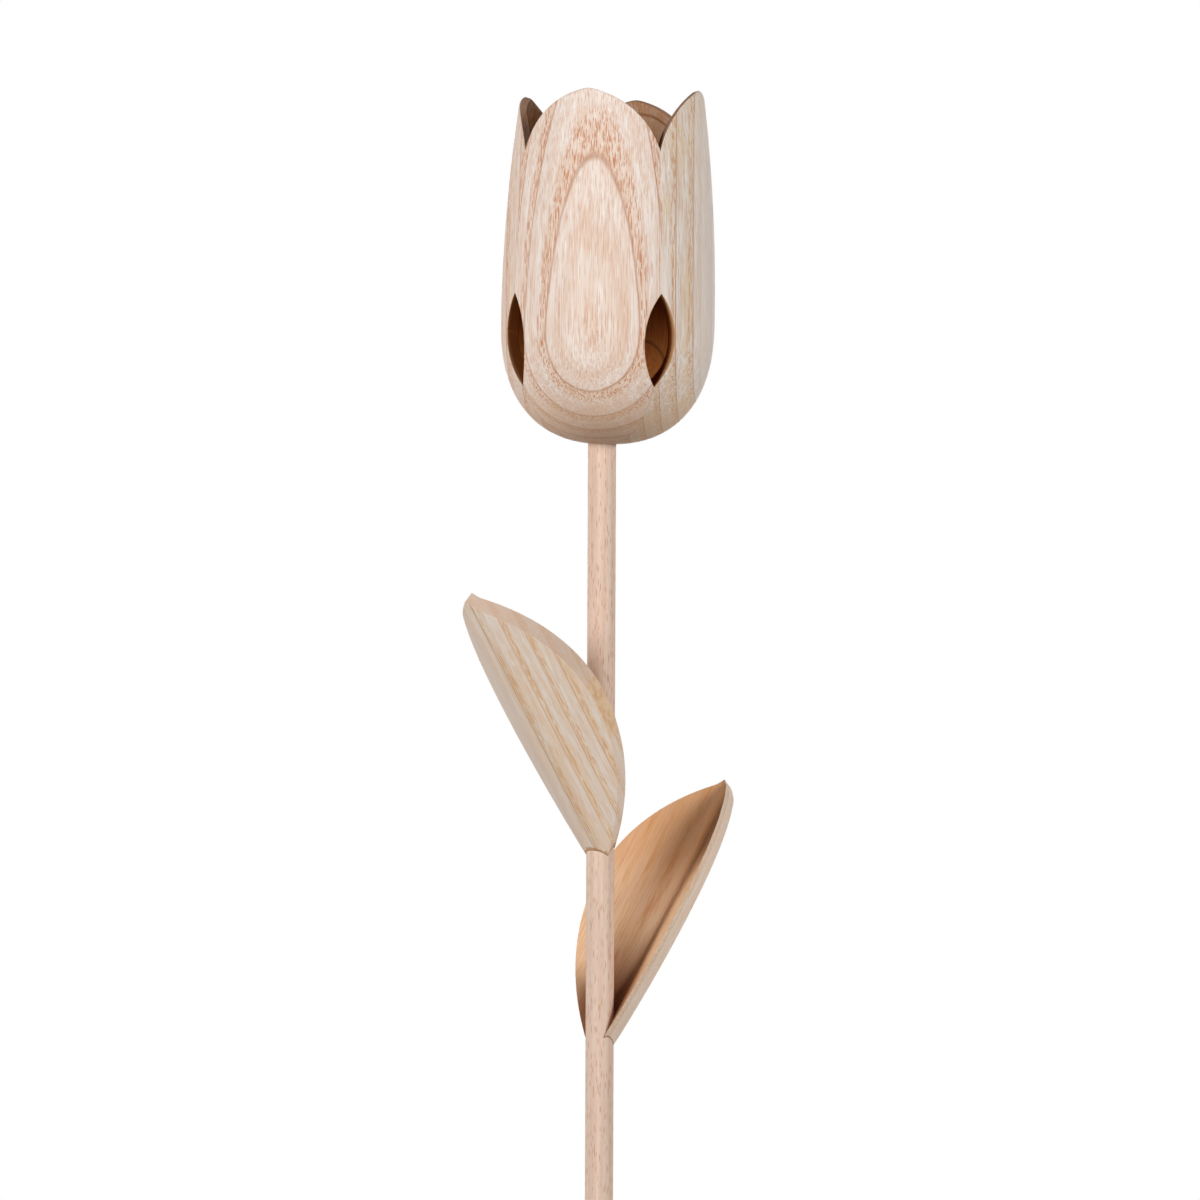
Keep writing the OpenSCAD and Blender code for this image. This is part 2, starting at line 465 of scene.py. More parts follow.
def build_leaf(name, foot_z, azimuth):
    """One leaf, with its rows across the fold and its columns along it."""
    bm = bmesh.new()
    place = leaf_matrix(foot_z, azimuth)
    apex = LEAF_T / sin(radians(LEAF_HALF_ANGLE))
    outer, inner = [], []
    for j in range(LEAF_ROWS + 1):
        even = j / LEAF_ROWS
        share = even + (sin(pi / 2 * even) - even) * LEAF_ROW_CROWDING
        outer_row, inner_row = [], []
        for i in range(LEAF_COLUMNS + 1):
            u = 2 * i / LEAF_COLUMNS - 1
            s = LEAF_LEN * share
            x = leaf_half_width(s) * u * (1 - LEAF_COLUMN_CROWDING * (1 - abs(u)))
            outer_row.append(bm.verts.new(place @ Vector((x, gable(x, apex, LEAF_FOLD_R), s))))
            inner_row.append(bm.verts.new(place @ Vector((x, gable(x, 0, LEAF_VALLEY_R), s))))
        outer.append(outer_row)
        inner.append(inner_row)
    for material, rows in ((OUTSIDE, outer), (INSIDE, inner)):
        for low, high in zip(rows, rows[1:]):
            bridge(bm, low, high, material)
    bridge(bm, outer[0], inner[0], CUT)
    side_edges = []
    for side in (0, -1):
        outer_side = [row[side] for row in outer]
        inner_side = [row[side] for row in inner]
        bridge(bm, outer_side, inner_side, CUT)
        side_edges += row_edges(bm, outer_side[:-2]) + row_edges(bm, inner_side[:-2])
    bmesh.ops.remove_doubles(bm, verts=bm.verts, dist=MERGE_DISTANCE)
    bmesh.ops.recalc_face_normals(bm, faces=bm.faces)
    round_edges(bm, side_edges, LEAF_ROUND, 2, OUTSIDE)
    return cut_by_stem(new_object(name, bm, SHARP_ANGLE, slots=3))


# Materials

class Graph:
    """Adds and joins the nodes of one material."""

    def __init__(self, name):
        self.material = bpy.data.materials.new(name)
        self.material.use_nodes = True
        self.tree = self.material.node_tree
        self.shader = self.tree.nodes["Principled BSDF"]

    def node(self, kind, **settings):
        node = self.tree.nodes.new(kind)
        for key, value in settings.items():
            setattr(node, key, value)
        return node

    def feed(self, socket, value):
        if isinstance(value, bpy.types.NodeSocket):
            self.tree.links.new(value, socket)
        else:
            socket.default_value = value

    def math(self, operation, *values, clamp=False):
        node = self.node("ShaderNodeMath", operation=operation, use_clamp=clamp)
        for socket, value in zip(node.inputs, values):
            self.feed(socket, value)
        return node.outputs[0]

    def vector(self, operation, *values):
        node = self.node("ShaderNodeVectorMath", operation=operation)
        for socket, value in zip(node.inputs, values):
            self.feed(socket, value)
        return node.outputs["Value" if operation == "DOT_PRODUCT" else "Vector"]

    def combine(self, x, y, z):
        node = self.node("ShaderNodeCombineXYZ")
        for socket, value in zip(node.inputs, (x, y, z)):
            self.feed(socket, value)
        return node.outputs[0]

    def step(self, value, low, high):
        """0 below low, 1 above high, smooth between; low may be the larger."""
        node = self.node("ShaderNodeMapRange", interpolation_type="SMOOTHSTEP")
        flip = low > high
        bounds = (high, low, 1.0, 0.0) if flip else (low, high, 0.0, 1.0)
        for socket, bound in zip(node.inputs[1:5], bounds):
            socket.default_value = bound
        self.feed(node.inputs[0], value)
        return node.outputs[0]

    def noise(self, vector, scale, detail, roughness=0.5):
        node = self.node("ShaderNodeTexNoise")
        self.feed(node.inputs["Vector"], vector)
        node.inputs["Scale"].default_value = scale
        node.inputs["Detail"].default_value = detail
        node.inputs["Roughness"].default_value = roughness
        return node.outputs["Fac"]

    def mix(self, share, first, second):
        node = self.node("ShaderNodeMix", data_type="RGBA")
        self.feed(node.inputs[0], share)
        self.feed(node.inputs[6], first)
        self.feed(node.inputs[7], second)
        return node.outputs[2]

    def tint(self, colour, mask, amount, tone):
        """Mixes a tone into a colour, by the given amount where the mask is 1."""
        return self.mix(self.math("MULTIPLY", mask, amount), colour, tone)

    def radius(self, x, y):
        """Distance from the axis that x and y are measured from."""
        return self.math("SQRT", self.math("MULTIPLY_ADD", x, x, self.math("MULTIPLY", y, y)))

    def local(self, origin, axes):
        """Coordinates along three axes, from an origin in the object's frame, in millimetres."""
        position = self.node("ShaderNodeTexCoord").outputs["Object"]
        moved = self.vector("SUBTRACT", position, [c * MM for c in origin])
        return [
            self.vector("DOT_PRODUCT", moved, [c / MM for c in axis]) for axis in axes
        ]

    def finish(self, colour, roughness, height, depth, specular=0.25):
        """Joins the colour, roughness and bump, whose full depth is in millimetres."""
        self.feed(self.shader.inputs["Base Color"], colour)
        self.feed(self.shader.inputs["Roughness"], roughness)
        self.shader.inputs["Specular IOR Level"].default_value = specular
        bump = self.node("ShaderNodeBump")
        bump.inputs["Strength"].default_value = 1.0
        bump.inputs["Distance"].default_value = depth * MM
        self.feed(bump.inputs["Height"], height)
        self.feed(self.shader.inputs["Normal"], bump.outputs[0])
        return self.material


def stretched(g, x, y, z, across, along, shift):
    """Coordinates for a texture whose features are across wide and along long, in mm."""
    return g.combine(
        g.math("MULTIPLY_ADD", x, 1 / across, shift),
        g.math("MULTIPLY_ADD", y, 1 / across, shift),
        g.math("MULTIPLY_ADD", z, 1 / along, shift),
    )


# Widths and ends over which a dash or a fleck comes in, as shares of its cell
DASH_WIDTH = (0.42, 0.22)
DASH_START = (0.0, 0.15)
DASH_END = (0.85, 0.6)
FLECK_WIDTH = (0.42, 0.2)


def dashes(g, x, y, z, across, along, shift, amount):
    """Straight vessel lines along the grain, in the given share of places: 1 in a dash."""
    columns = g.node("ShaderNodeTexVoronoi", voronoi_dimensions="2D")
    columns.inputs["Scale"].default_value = 1.0
    g.feed(columns.inputs["Vector"], stretched(g, x, y, z, across, 1.0, shift))
    random = g.node("ShaderNodeSeparateColor")
    g.feed(random.inputs[0], columns.outputs["Color"])
    run = g.math("MULTIPLY_ADD", random.outputs[0], 9.0, g.math("DIVIDE", z, along))
    part = g.math("FRACT", run)
    inside = g.math("MULTIPLY", g.step(columns.outputs["Distance"], *DASH_WIDTH),
                    g.math("MULTIPLY", g.step(part, *DASH_START), g.step(part, *DASH_END)))
    picked = g.node("ShaderNodeTexWhiteNoise", noise_dimensions="2D")
    segment = g.combine(g.math("FLOOR", run), g.math("MULTIPLY", random.outputs[1], 50.0), 0.0)
    g.feed(picked.inputs["Vector"], segment)
    return g.math("MULTIPLY", inside, g.math("LESS_THAN", picked.outputs["Value"], amount))


def flecks(g, x, y, z, across, along, shift, amount):
    """Short scattered ray flecks, in the given share of places: 1 in a fleck."""
    cells = g.node("ShaderNodeTexVoronoi")
    cells.inputs["Scale"].default_value = 1.0
    g.feed(cells.inputs["Vector"], stretched(g, x, y, z, across, along, shift))
    random = g.node("ShaderNodeSeparateColor")
    g.feed(random.inputs[0], cells.outputs["Color"])
    inside = g.step(cells.outputs["Distance"], *FLECK_WIDTH)
    return g.math("MULTIPLY", inside, g.math("LESS_THAN", random.outputs[0], amount))


# Parts of a year's ring, as shares of the way from one ring line to the next
LINE_ENDING = (0.955, 1.0)
LINE_STARTING = (0.05, 0.0)
POROUS_START = (0.0, 0.03)
POROUS_END = (0.52, 0.1)
FLAME_START = (0.42, 0.62)
FLAME_END = (0.82, 0.66)
LATE_WOOD = (0.62, 0.97)
# Number of the ring line whose depth is given; on the skin, smaller ones lie inside its oval
GIVEN_RING = 20.0


def ash_grain(g, x, y, z, rings, shift, tones):
    """Colour, pores, fibre and ring lines of ash: near-flat sheets with pores on one side.

    rings gives the direction across the sheets in x and y, the depth of one ring line where it
    crests, how fast it falls off from there, the crest's height, and the spacing.
    """
    normal, crest_depth, bend, crest_z, spacing = rings
    slow = g.noise(stretched(g, x, y, z, 22.0, 60.0, shift), 1.0, 2.0)
    depth = g.math("MULTIPLY_ADD", x, normal[0], g.math("MULTIPLY", y, normal[1]))
    below = g.math("SUBTRACT", crest_z, z)
    place = g.math("MULTIPLY_ADD", g.math("MULTIPLY", below, below), -bend, crest_depth)
    warp = g.math("MULTIPLY_ADD", g.math("SUBTRACT", slow, 0.5), 0.12 * spacing, place)
    inwards = g.math("DIVIDE", g.math("SUBTRACT", warp, depth), spacing)
    count = g.math("ADD", inwards, GIVEN_RING)
    phase = g.math("FRACT", count)
    year = g.noise(g.combine(g.math("FLOOR", count), shift, 0.0), 1.7, 0.0)

    fibre = g.noise(stretched(g, x, y, z, 0.45, 12.0, shift), 1.0, 3.0, 0.6)
    streak = g.noise(stretched(g, x, y, z, 1.5, 42.0, shift + 3.1), 1.0, 3.0, 0.6)
    cloud = g.noise(stretched(g, x, y, z, 3.4, 30.0, shift + 7.7), 1.0, 2.0)
    uneven = g.noise(stretched(g, x, y, z, 3.0, 16.0, shift + 2.2), 1.0, 2.0)

    line = g.math("MAXIMUM", g.step(phase, *LINE_ENDING), g.step(phase, *LINE_STARTING))
    line = g.math("MULTIPLY", line, g.math("MULTIPLY_ADD", uneven, 0.9, 0.45, clamp=True))
    flame = g.math("MULTIPLY", g.step(phase, *FLAME_START), g.step(phase, *FLAME_END))
    flame = g.math("MULTIPLY", flame, g.step(fibre, 0.22, 0.55))
    inner = g.math("MULTIPLY_ADD", g.math("LESS_THAN", count, GIVEN_RING), 0.35, 0.2)
    porous = g.math("MULTIPLY", g.step(phase, *POROUS_END), g.step(phase, *POROUS_START))
    porous = g.math("MULTIPLY", porous, g.math("MULTIPLY_ADD", g.step(year, 0.2, 0.6), 0.4, 0.6))
    late = g.step(phase, *LATE_WOOD)
    pores = g.math("MAXIMUM", dashes(g, x, y, z, 0.56, 8.5, shift, 0.75),
                   dashes(g, x, y, z, 0.42, 5.0, shift + 13.3, 0.6))
    strays = dashes(g, x, y, z, 0.5, 7.5, shift + 5.3, 0.4)
    pore_mask = g.math("MULTIPLY", pores, g.step(porous, 0.05, 0.7))
    pore_mask = g.math("MAXIMUM", pore_mask, g.math("MULTIPLY", strays, 0.4))

    colour = g.mix(g.step(streak, 0.36, 0.62), tones["pale"], tones["base"])
    colour = g.tint(colour, g.step(cloud, 0.42, 0.64), 0.7, tones["warm"])
    colour = g.tint(colour, late, 0.35, tones["late"])
    colour = g.tint(colour, porous, 0.5, tones["porous"])
    colour = g.tint(colour, flame, inner, tones["fibre"])
    colour = g.tint(colour, g.step(fibre, 0.46, 0.68), 0.75, tones["fibre"])
    colour = g.tint(colour, g.step(fibre, 0.43, 0.26), 0.7, tones["light"])
    colour = g.tint(colour, line, g.math("MULTIPLY_ADD", year, 0.4, 0.6), tones["line"])
    colour = g.tint(colour, pore_mask, 0.9, tones["pore"])
    return colour, pore_mask, fibre, line


def wood_bump(g, pore_mask, fibre):
    return g.math("MULTIPLY_ADD", pore_mask, -0.8, g.math("MULTIPLY", fibre, 0.35))


# Tones of the woods; shade is painted shade, a darker colour on the cavity's inside towards the
# rim, and shaded is its share
FRONT_TONES = {
    "pale": srgb(250, 239, 231), "base": srgb(241, 223, 211), "warm": srgb(239, 214, 195),
    "late": srgb(238, 216, 202), "porous": srgb(232, 198, 171), "line": srgb(190, 136, 102),
    "pore": srgb(201, 128, 78), "fibre": srgb(224, 188, 161), "light": srgb(253, 247, 242),
    "shade": srgb(148, 102, 62), "shaded": 0.83,
}
# The left stave's inside gets a darker painted shade, with a larger share
LEFT_TONES = dict(FRONT_TONES, pale=srgb(241, 230, 221), base=srgb(232, 213, 200),
                  shade=srgb(101, 61, 26), shaded=0.96)
# The right stave's tones; its edge tone is a painted grey sheen along the head's right edge
SIDE_TONES = {
    "pale": srgb(249, 243, 237), "base": srgb(232, 213, 197), "warm": srgb(236, 210, 176),
    "late": srgb(230, 214, 204), "porous": srgb(228, 200, 172), "line": srgb(176, 130, 100),
    "pore": srgb(206, 152, 104), "fibre": srgb(214, 184, 158), "light": srgb(249, 243, 235),
    "shade": srgb(138, 110, 90), "shaded": 0.93, "edge": srgb(228, 219, 212),
}
LEAF_TONES = {
    "pale": srgb(253, 243, 233), "base": srgb(250, 230, 212), "warm": srgb(251, 219, 187),
    "late": srgb(250, 226, 208), "porous": srgb(247, 204, 152), "line": srgb(220, 168, 120),
    "pore": srgb(232, 180, 124), "fibre": srgb(243, 215, 192), "light": srgb(252, 245, 237),
}
BEECH_TONES = {
    "base": srgb(240, 214, 196), "streak": srgb(229, 198, 177), "fibre": srgb(208, 174, 150),
    "fine": srgb(196, 154, 126), "coarse": srgb(182, 130, 98),
}
END_GRAIN_TONE = srgb(226, 180, 133)
GLUE_TONE = srgb(176, 142, 112)
# Painted shade and bounced light in the cup: an orange-brown, streaked along the fibre
CUP_SHADE_TONE = srgb(216, 138, 72)
CUP_SHADE_STREAK = srgb(198, 116, 58)
# Ring lines inside the cavity, and the painted shade of the darker band below the rim
CAVITY_LINE_AND_SHADE_TONE = srgb(112, 70, 44)
# Painted shade on the cut walls: brown deep in a window, tan at its outer edge, brown on the rim
CUT_WALL_SHADE_TONE = srgb(150, 84, 40)
CUT_EDGE_TONE = srgb(196, 146, 104)
CUT_RIM_SHADE_TONE = srgb(150, 98, 62)
# Painted shade on one flank of a leaf's outside: greyer and darker
FLANK_SHADE_TONE = srgb(226, 206, 190)
# Painted shade and bounced light on a leaf's hollow side: a reddish tan, darker along the fibre
HOLLOW_SHADE_TONE = srgb(236, 194, 152)
HOLLOW_SHADE_FIBRE = srgb(218, 170, 126)
HOLLOW_STREAK = srgb(208, 128, 74)
# Painted shade on the hollow side towards the tip
HOLLOW_TIP_SHADE_TONE = srgb(204, 138, 82)
# Painted shade in the hollow's foot
HOLLOW_FOOT_SHADE_TONE = srgb(124, 66, 32)
LEAF_EDGE_TONE = srgb(227, 202, 183)
SAWN_TONE = srgb(208, 172, 148)
TORN_TONE = srgb(226, 178, 130)
TORN_LIGHT = srgb(240, 206, 168)
AMBER_TONE = srgb(200, 146, 84)
# Painted shadow in the joint where a leaf meets the stem
JOINT_SHADOW_TONE = srgb(120, 76, 44)
PAPER_TONE = srgb(160, 158, 155)

# Where a tone comes in, each from none to full: heights above the head's pole
END_GRAIN_Z = (22.0, 6.0)
# painted light: over these heights the cavity's painted shade lessens at the rim
PAINTED_RIM_LIGHT_Z = (114.0, 124.0)
# painted shade: a darker band in the cavity below the rim
CAVITY_SHADE_BAND_Z = (117.0, 100.0)
# painted shade: where the cup's orange-brown comes in
CUP_SHADE_Z = (104.0, 62.0)
RIM_CUT_Z = (55.0, 65.0)
# places to the right of the head's axis, distances from a seam, and depths below the skin
# painted sheen: where the grey along the right edge comes in
RIGHT_EDGE_SHEEN_X = (28.0, 38.0)
GLUE_LINE = (0.16, 0.04)
# depths below the skin over which a window's painted shade darkens
CUT_WALL_SHADE_DEPTH = (0.25, 1.9)
# places along a leaf's fold and across it, and distances from the stem's surface
# painted shade on the hollow side towards the tip
HOLLOW_TIP_SHADE_S = (50.0, 92.0)
# painted shade in the hollow's foot, along the fold and across it
HOLLOW_FOOT_SHADE_S = (54.0, 18.0)
HOLLOW_FOOT_SHADE_ACROSS = (16.0, 7.0)
SAWN_S = (50.0, 85.0)
TORN_START_S = (46.0, 51.0)
TORN_END_S = (74.0, 69.0)
TORN_SIDE_X = (0.0, -1.0)
# painted shade: across the fold onto one flank
FLANK_SHADE_X = (0.5, 4.0)
GLUE_REACH = (0.3, -0.2)
# painted shadow: how far the joint's dark reaches from the stem
JOINT_SHADOW_REACH = (0.35, 0.08)

# How fast the skin runs in below the belly at the windows, per square millimetre
BELLY_CURVE = 0.0072
# Rings of the leaves' wood: spacing, one ring line's depth, and slant across the fold
LEAF_RING_SPACING = 6.0
LEAF_RING_DEPTH = 2.0
LEAF_RING_SLANT = radians(38)
# Full depth of each wood's relief
ASH_RELIEF = 0.05
BEECH_RELIEF = 0.04

# Each stave's rings: azimuth across the sheets, one ring line's depth at its crest, how fast
# it falls off, the crest's height, the spacing, and the texture's shift
STAVE_RINGS = {
    "petal_front": (-99.1, 34.9, 0.00027, 104.0, 5.7, 0.0),
    "petal_right": (-4.0, 32.1, 0.00002, 60.0, 5.7, 11.3),
    "petal_back": (71.0, 71.7, 0.0006, 380.0, 8.0, 23.9),
    "petal_left": (171.0, 33.4, 0.00015, 100.0, 5.9, 37.2),
}
OBJECT_AXES = [(1, 0, 0), (0, 1, 0), (0, 0, 1)]
OBJECT_ORIGIN = (0, 0, 0)
HEAD_ORIGIN = (HEAD_SHIFT, 0, POLE_Z)


def glued_seams(g, x, y, start, colour):
    """Fine glue lines at a stave's two seams."""
    for angle in (radians(start), radians(start + 90)):
        lateral = g.math("ABSOLUTE", g.math("MULTIPLY_ADD", x, -sin(angle),
                                            g.math("MULTIPLY", y, cos(angle))))
        colour = g.tint(colour, g.step(lateral, *GLUE_LINE), 0.55, GLUE_TONE)
    return colour


def cavity_colour(g, x, y, z, fibre, line, colour, tones):
    """Turned inside with painted shade: shaded brown towards the rim but less at the rim itself, a
    darker band below, and orange-brown in the cup for its shade and bounced light; with ring lines.
    """
    # painted shade: the share of the shade tone, mottled, and smaller at the rim
    mottle = g.noise(stretched(g, x, y, z, 1.2, 3.0, 5.0), 1.0, 2.0)
    share = g.math("MULTIPLY_ADD", mottle, 0.24, tones["shaded"] - 0.12)
    share = g.math("MULTIPLY_ADD", g.step(z, *PAINTED_RIM_LIGHT_Z), -0.1, share)
    colour = g.mix(share, colour, tones["shade"])
    # painted shade: a darker band below the rim
    colour = g.tint(colour, g.step(z, *CAVITY_SHADE_BAND_Z), 0.25, CAVITY_LINE_AND_SHADE_TONE)
    # painted shade and bounced light: the cup's orange-brown, streaked along the fibre
    cup = g.mix(g.step(fibre, 0.35, 0.65), CUP_SHADE_TONE, CUP_SHADE_STREAK)
    colour = g.tint(colour, g.step(z, *CUP_SHADE_Z), 0.94, cup)
    return g.tint(colour, line, 0.65, CAVITY_LINE_AND_SHADE_TONE)


def cut_colour(g, x, y, z, colour):
    """Cut walls with painted shade: tan at the outer edge of a window and brown deeper inside,
    shaded brown on the rim.
    """
    below = g.math("MAXIMUM", g.math("SUBTRACT", BELLY_Z, z), 0.0)
    skin = g.math("MULTIPLY_ADD", g.math("MULTIPLY", below, below), -BELLY_CURVE, HEAD_R)
    depth = g.math("SUBTRACT", skin, g.radius(x, y))
    # painted shade: darker deeper into a window, and a shaded brown on the rim
    window = g.mix(g.step(depth, *CUT_WALL_SHADE_DEPTH), CUT_EDGE_TONE, CUT_WALL_SHADE_TONE)
    rim = g.mix(0.75, colour, CUT_RIM_SHADE_TONE)
    return g.mix(g.step(z, *RIM_CUT_Z), window, rim)


def stave_materials(node, start, tones):
    """Materials of a stave's outside, its cavity and its cut walls."""
    azimuth, depth, bend, crest_z, spacing, shift = STAVE_RINGS[node]
    normal = (cos(radians(azimuth)), sin(radians(azimuth)))
    rings = (normal, depth, bend, crest_z, spacing)
    materials = []
    for part in ("wood", "cavity", "cut"):
        g = Graph(f"{node}_{part}")
        x, y, z = g.local(HEAD_ORIGIN, OBJECT_AXES)
        colour, pore_mask, fibre, line = ash_grain(g, x, y, z, rings, shift, tones)
        height = wood_bump(g, pore_mask, fibre)
        if part == "wood":
            colour = g.tint(colour, g.step(z, *END_GRAIN_Z), 0.42, END_GRAIN_TONE)
            # painted sheen: grey along the head's right edge
            if "edge" in tones:
                colour = g.tint(colour, g.step(x, *RIGHT_EDGE_SHEEN_X), 0.75, tones["edge"])
            colour = glued_seams(g, x, y, start, colour)
        elif part == "cavity":
            colour = cavity_colour(g, x, y, z, fibre, line, colour, tones)
            turned = g.noise(g.combine(0.0, 0.0, g.math("DIVIDE", z, 0.9)), 1.0, 1.0)
            height = g.math("MULTIPLY_ADD", turned, 0.8, height)
        else:
            colour = cut_colour(g, x, y, z, colour)
        roughness = g.math("MULTIPLY_ADD", fibre, 0.12, 0.6)
        specular = 0.4 if part == "wood" else 0.0
        materials.append(g.finish(colour, roughness, height, ASH_RELIEF, specular))
    return materials


def leaf_materials(node, foot_z, azimuth, shift, amber, sawn):
    """Materials of a leaf's outside, its hollow side and its cut edge.

    amber is the strength of the glue's colour at the stem, and sawn that of the edge's dark tip.
    """
    place = leaf_matrix(foot_z, azimuth)
    axes = [tuple(place.to_3x3() @ Vector(axis)) for axis in OBJECT_AXES]
    normal = (sin(LEAF_RING_SLANT), cos(LEAF_RING_SLANT))
    rings = (normal, LEAF_RING_DEPTH, 0.0, 0.0, LEAF_RING_SPACING)
    materials = []
    for part in ("outside", "hollow", "edge"):
        g = Graph(f"{node}_{part}")
        x, y, z = g.local(tuple(place.translation), axes)
        colour, pore_mask, fibre, _ = ash_grain(g, x, y, z, rings, shift, LEAF_TONES)
        if part == "outside":
            # painted shade: one flank greyer and darker
            colour = g.tint(colour, g.step(x, *FLANK_SHADE_X), 0.6, FLANK_SHADE_TONE)
        elif part == "hollow":
            colour = hollow_colour(g, x, y, z, fibre, shift, colour)
        else:
            colour = g.mix(0.4, colour, LEAF_EDGE_TONE)
            colour = g.tint(colour, g.step(z, *SAWN_S), sawn, SAWN_TONE)
            colour = torn_patch(g, x, y, z, shift, colour)
        colour = glue_at_stem(g, colour, amber)
        roughness = g.math("MULTIPLY_ADD", fibre, 0.12, 0.6)
        height = wood_bump(g, pore_mask, fibre)
        specular = 0.08 if part == "hollow" else 0.25
        materials.append(g.finish(colour, roughness, height, ASH_RELIEF, specular))
    return materials


def glue_at_stem(g, colour, amber):
    """Amber glue that has squeezed out where a leaf meets the stem, and a painted shadow in the
    joint.
    """
    x, y, z = g.local(OBJECT_ORIGIN, OBJECT_AXES)
    away = g.math("SUBTRACT", g.radius(x, y), STEM_R)
    blot = g.noise(stretched(g, x, y, z, 1.6, 1.6, 3.0), 1.0, 2.0)
    reach = g.math("MULTIPLY_ADD", blot, 3.6, -1.2)
    glued = g.step(g.math("SUBTRACT", away, reach), *GLUE_REACH)
    colour = g.tint(colour, glued, amber, AMBER_TONE)
    # painted shadow in the joint at the stem
    return g.tint(colour, g.step(away, *JOINT_SHADOW_REACH), 0.7, JOINT_SHADOW_TONE)


def hollow_colour(g, x, y, z, fibre, shift, colour):
    """Reddish tan with orange streaks, the tan being painted shade and bounced light on the hollow
    side; more painted shade, browner towards the tip and dark in the foot.
    """
    streak = g.noise(stretched(g, x, y, z, 2.6, 30.0, shift + 9.0), 1.0, 3.0, 0.6)
    # painted shade and bounced light: the hollow side's reddish tan
    tan = g.mix(g.step(fibre, 0.3, 0.7), HOLLOW_SHADE_TONE, HOLLOW_SHADE_FIBRE)
    colour = g.mix(0.82, colour, tan)
    colour = g.tint(colour, g.step(streak, 0.54, 0.7), 0.6, HOLLOW_STREAK)
    # painted shade: browner towards the tip
    colour = g.tint(colour, g.step(z, *HOLLOW_TIP_SHADE_S), 0.5, HOLLOW_TIP_SHADE_TONE)
    # painted shade: dark in the foot near the fold
    across = g.step(g.math("ABSOLUTE", x), *HOLLOW_FOOT_SHADE_ACROSS)
    foot = g.math("MULTIPLY", g.step(z, *HOLLOW_FOOT_SHADE_S), across)
    return g.tint(colour, foot, 0.85, HOLLOW_FOOT_SHADE_TONE)


def torn_patch(g, x, y, z, shift, colour):
    """Yellowish torn and glued patch on one stretch of the cut edge."""
    rough = g.noise(stretched(g, x, y, z, 2.0, 3.0, shift), 1.0, 3.0, 0.6)
    along = g.math("MULTIPLY_ADD", rough, 4.0, z)
    inside = g.math("MULTIPLY", g.step(along, *TORN_START_S), g.step(along, *TORN_END_S))
    inside = g.math("MULTIPLY", inside, g.step(x, *TORN_SIDE_X))
    patch = g.mix(g.step(rough, 0.35, 0.6), TORN_TONE, TORN_LIGHT)
    return g.tint(colour, inside, 0.85, patch)


def beech():
    """Sanded beech: even pinkish tan with short brown ray flecks along the grain."""
    g = Graph("beech_dowel")
    x, y, z = g.local(OBJECT_ORIGIN, OBJECT_AXES)
    streak = g.noise(stretched(g, x, y, z, 1.6, 55.0, 4.0), 1.0, 2.0)
    fibre = g.noise(stretched(g, x, y, z, 0.35, 9.0, 9.0), 1.0, 3.0, 0.6)
    coarse = flecks(g, x, y, z, 0.6, 4.4, 2.0, 0.5)
    fine = flecks(g, x, y, z, 0.42, 3.4, 8.0, 0.5)
    colour = g.mix(g.step(streak, 0.3, 0.7), BEECH_TONES["base"], BEECH_TONES["streak"])
    colour = g.tint(colour, g.step(fibre, 0.4, 0.75), 0.35, BEECH_TONES["fibre"])
    colour = g.tint(colour, fine, 0.35, BEECH_TONES["fine"])
    colour = g.tint(colour, coarse, 0.55, BEECH_TONES["coarse"])
    height = g.math("MULTIPLY_ADD", coarse, -0.5, g.math("MULTIPLY", fibre, 0.4))
    roughness = g.math("MULTIPLY_ADD", fibre, 0.1, 0.58)
    return g.finish(colour, roughness, height, BEECH_RELIEF)


# Stage: floor, world and lamps

def seen_directly(tree):
    """1 for camera, glossy and transmission rays, as a socket in the given node tree."""
    path = tree.nodes.new("ShaderNodeLightPath")
    share = path.outputs["Is Camera Ray"]
    for ray in ("Is Glossy Ray", "Is Transmission Ray"):
        larger = tree.nodes.new("ShaderNodeMath")
        larger.operation = "MAXIMUM"
        tree.links.new(share, larger.inputs[0])
        tree.links.new(path.outputs[ray], larger.inputs[1])
        share = larger.outputs[0]
    return share


def blend_shaders(tree, share, first, second, output):
    """Joins two shaders to the output node of the given name, the second by the given share."""
    blend = tree.nodes.new("ShaderNodeMixShader")
    for source, socket in zip((share, first.outputs[0], second.outputs[0]), blend.inputs):
        tree.links.new(source, socket)
    tree.links.new(blend.outputs[0], tree.nodes[output].inputs["Surface"])


def add_floor():
    """Pale floor that keeps the object's shadow and turns into the white background."""
    bm = bmesh.new()
    bmesh.ops.create_circle(bm, cap_ends=True, segments=PAPER_SIDES, radius=PAPER_R)
    mesh = bpy.data.meshes.new("floor")
    bm.to_mesh(mesh)
    bm.free()
    floor = bpy.data.objects.new("floor", mesh)
    bpy.context.scene.collection.objects.link(floor)
    g = Graph("floor_paper")
    g.shader.inputs["Base Color"].default_value = PAPER_TONE
    g.shader.inputs["Roughness"].default_value = 0.9
    g.shader.inputs["Specular IOR Level"].default_value = 0.0
    distance = g.node("ShaderNodeVectorMath", operation="LENGTH")
    g.feed(distance.inputs[0], g.node("ShaderNodeTexCoord").outputs["Object"])
    far = g.step(distance.outputs["Value"], *PAPER_FADE)
    bright = g.math("MULTIPLY_ADD", far, 1 - PAPER_WHITE, PAPER_WHITE)
    share = g.math("MULTIPLY", bright, seen_directly(g.tree))
    blend_shaders(g.tree, share, g.shader, g.node("ShaderNodeEmission"), "Material Output")
    mesh.materials.append(g.material)


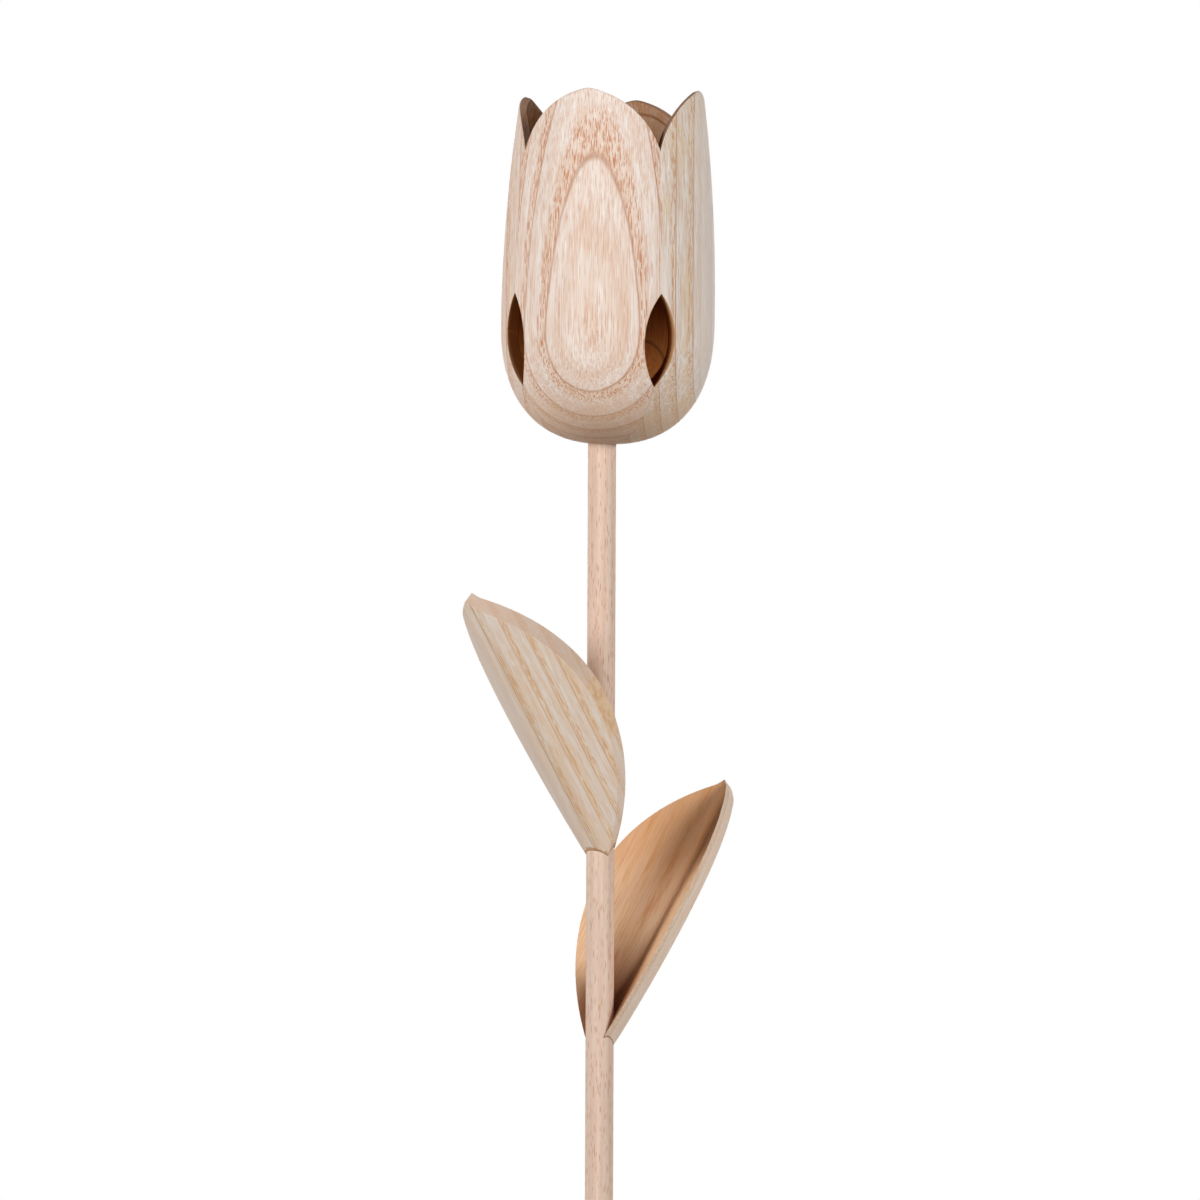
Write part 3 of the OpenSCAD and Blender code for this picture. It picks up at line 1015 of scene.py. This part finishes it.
def add_world():
    """White where the camera sees it, and a faint even light on the object."""
    world = bpy.data.worlds.new("studio")
    world.use_nodes = True
    bpy.context.scene.world = world
    tree = world.node_tree
    faint = tree.nodes["Background"]
    white = tree.nodes.new("ShaderNodeBackground")
    for background, strength in ((faint, AMBIENT), (white, 1.0)):
        background.inputs["Color"].default_value = (1, 1, 1, 1)
        background.inputs["Strength"].default_value = strength
    blend_shaders(tree, seen_directly(tree), faint, white, "World Output")


def add_lamp(name, place, size, power):
    data = bpy.data.lights.new(name, "AREA")
    data.shape = "DISK"
    data.size = size
    data.energy = power
    lamp = bpy.data.objects.new(name, data)
    lamp.location = place
    lamp.visible_camera = False
    target = Vector((0, 0, LAMP_TARGET_Z))
    lamp.rotation_euler = (target - lamp.location).to_track_quat("-Z", "Y").to_euler()
    bpy.context.scene.collection.objects.link(lamp)


def add_lamps():
    """One soft lamp on each side of the front, and one low behind for the other views."""
    for name, azimuth, elevation, size, power in LAMPS:
        flat = LAMP_DISTANCE * cos(radians(elevation))
        place = Vector((
            flat * sin(radians(azimuth)), -flat * cos(radians(azimuth)),
            LAMP_TARGET_Z + LAMP_DISTANCE * sin(radians(elevation)),
        ))
        add_lamp(name, place, size, power)


# Assembly

def stand_for(piece, node, materials):
    """Puts a modelled piece in the place of its CAD node."""
    for i, material in enumerate(materials):
        piece.data.materials[i] = material
    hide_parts(node)
    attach(piece, "root")


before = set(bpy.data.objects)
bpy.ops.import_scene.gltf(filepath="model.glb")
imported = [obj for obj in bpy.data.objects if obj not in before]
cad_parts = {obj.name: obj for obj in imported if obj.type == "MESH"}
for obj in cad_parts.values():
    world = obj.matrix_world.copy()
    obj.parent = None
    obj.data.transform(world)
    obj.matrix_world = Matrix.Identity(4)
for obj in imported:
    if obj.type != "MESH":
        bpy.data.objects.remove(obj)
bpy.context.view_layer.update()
bpy.context.scene.view_settings.view_transform = "Standard"
add_camera()

stand_for(build_stem(), "stem", [beech()])
# Each stave: its first seam, how far its tip is lower than in the solid, and its tones
PETALS = {
    "petal_front": (SEAM_ANGLE - 90, 0.9, FRONT_TONES),
    "petal_right": (SEAM_ANGLE, -0.4, SIDE_TONES),
    "petal_back": (SEAM_ANGLE + 90, 0.8, FRONT_TONES),
    "petal_left": (SEAM_ANGLE + 180, 2.0, LEFT_TONES),
}
for node, (start, tip_drop, tones) in PETALS.items():
    piece = build_petal(f"{node}_stave", start, tip_drop)
    stand_for(piece, node, stave_materials(node, start, tones))
# Each leaf: its foot's height and direction, the texture's shift, and its amber and sawn shares
LEAVES = {
    "upper_leaf": (UPPER_FOOT_Z, LEAF_AZIMUTH, 51.0, 0.75, 0.5),
    "lower_leaf": (LOWER_FOOT_Z, LEAF_AZIMUTH + 180, 67.0, 0.0, 0.0),
}
for node, (foot_z, azimuth, *looks) in LEAVES.items():
    piece = build_leaf(f"{node}_blade", foot_z, azimuth)
    stand_for(piece, node, leaf_materials(node, foot_z, azimuth, *looks))

add_floor()
add_world()
add_lamps()
